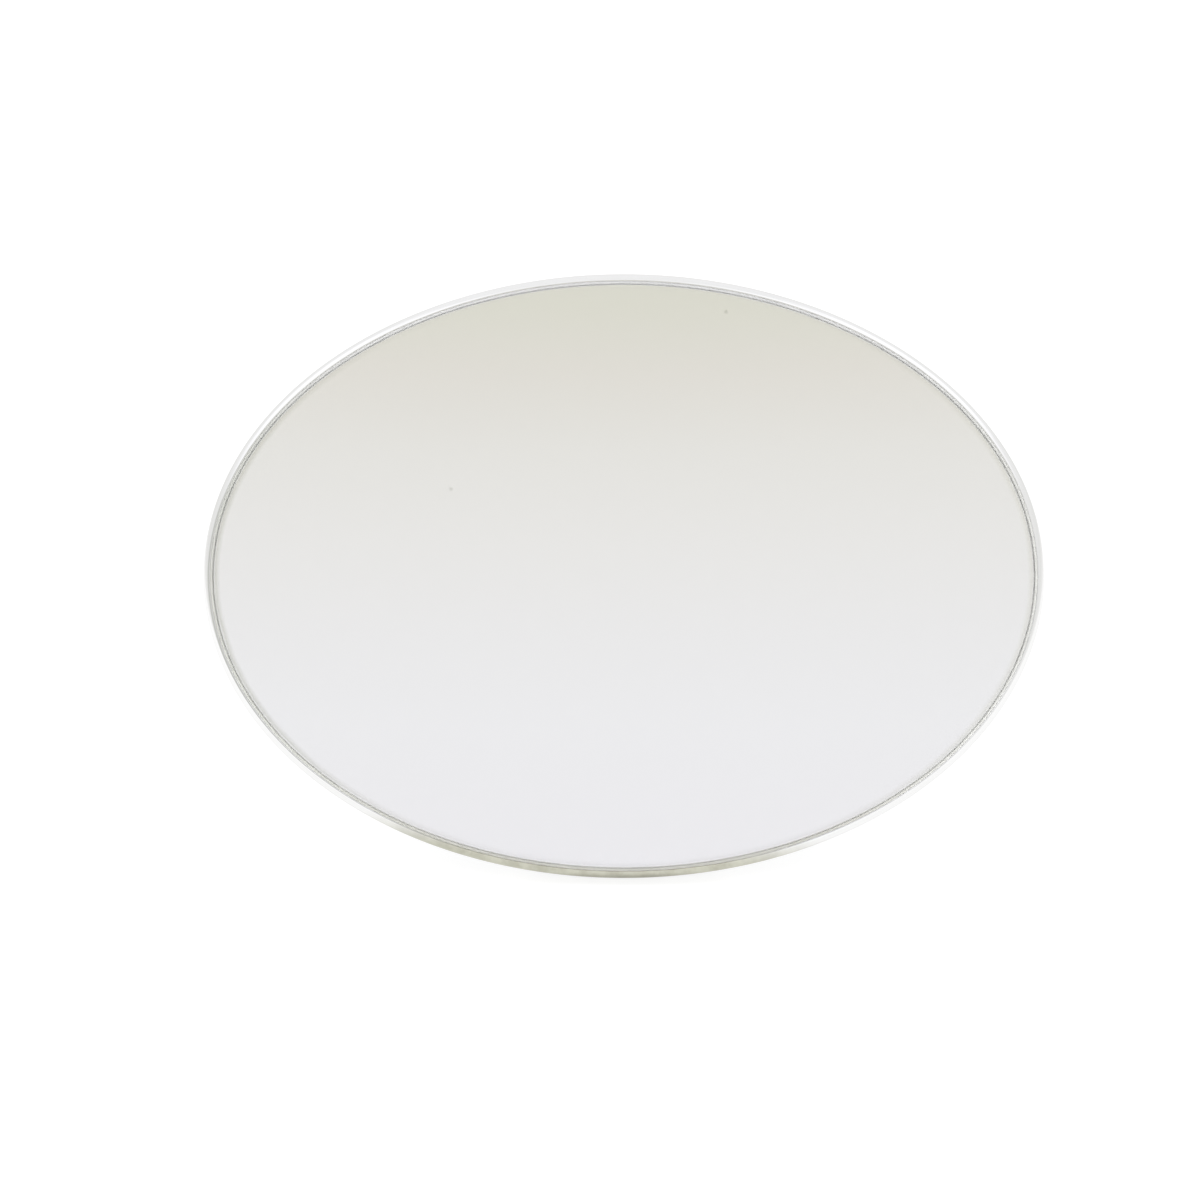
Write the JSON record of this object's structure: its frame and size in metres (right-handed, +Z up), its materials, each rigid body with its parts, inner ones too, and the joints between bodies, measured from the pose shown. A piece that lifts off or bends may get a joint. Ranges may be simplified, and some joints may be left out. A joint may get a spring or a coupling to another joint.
{
  "type": "countertop mirror",
  "caption": "Oval mirror in a thin polished rim, leaning back on a folding easel leg with a friction hinge, for a shop counter.",
  "frame": {"origin": "on the counter, under the middle of the standing mirror's bounding box", "axes": "+X to the right along the oval's long axis, +Y from the mirror's face towards the leg, +Z up"},
  "size_m": [0.28, 0.0914, 0.194],
  "materials": {
    "polished_rim": "polished",
    "mirror_glass": "polished",
    "silvering": "polished",
    "foam": "matte",
    "black_powder_coat": "satin",
    "zinc_plate": "satin",
    "dark_steel": "satin",
    "white_nylon": "satin",
    "black_rubber": "matte"
  },
  "bodies": {
    "head": {"rim_band": "polished_rim", "mirror_glass": "mirror_glass", "silver_backing": "silvering", "foam_pad": "foam", "back_plate": "black_powder_coat", "hinge_bracket": "zinc_plate", "bracket_rivet_1": "zinc_plate", "bracket_rivet_2": "zinc_plate", "bracket_rivet_3": "zinc_plate", "bracket_rivet_4": "zinc_plate", "front_foot": "black_rubber", "spacer_tube": "zinc_plate", "friction_washer_left": "white_nylon", "friction_washer_right": "white_nylon"},
    "leg": {"easel_leg": "black_powder_coat", "leg_foot_left": "black_rubber", "leg_foot_right": "black_rubber", "hinge_bolt": "dark_steel", "plain_washer": "zinc_plate", "disc_spring_1": "dark_steel", "disc_spring_2": "dark_steel", "lock_nut": "zinc_plate"}
  },
  "joints": [
    {"name": "leg_hinge", "type": "hinge", "parent": "head", "child": "leg", "pos_m": [0, 0.01168, 0.12185], "axis": [1, 0, 0], "range_deg": [-32, 18.5]}
  ]
}
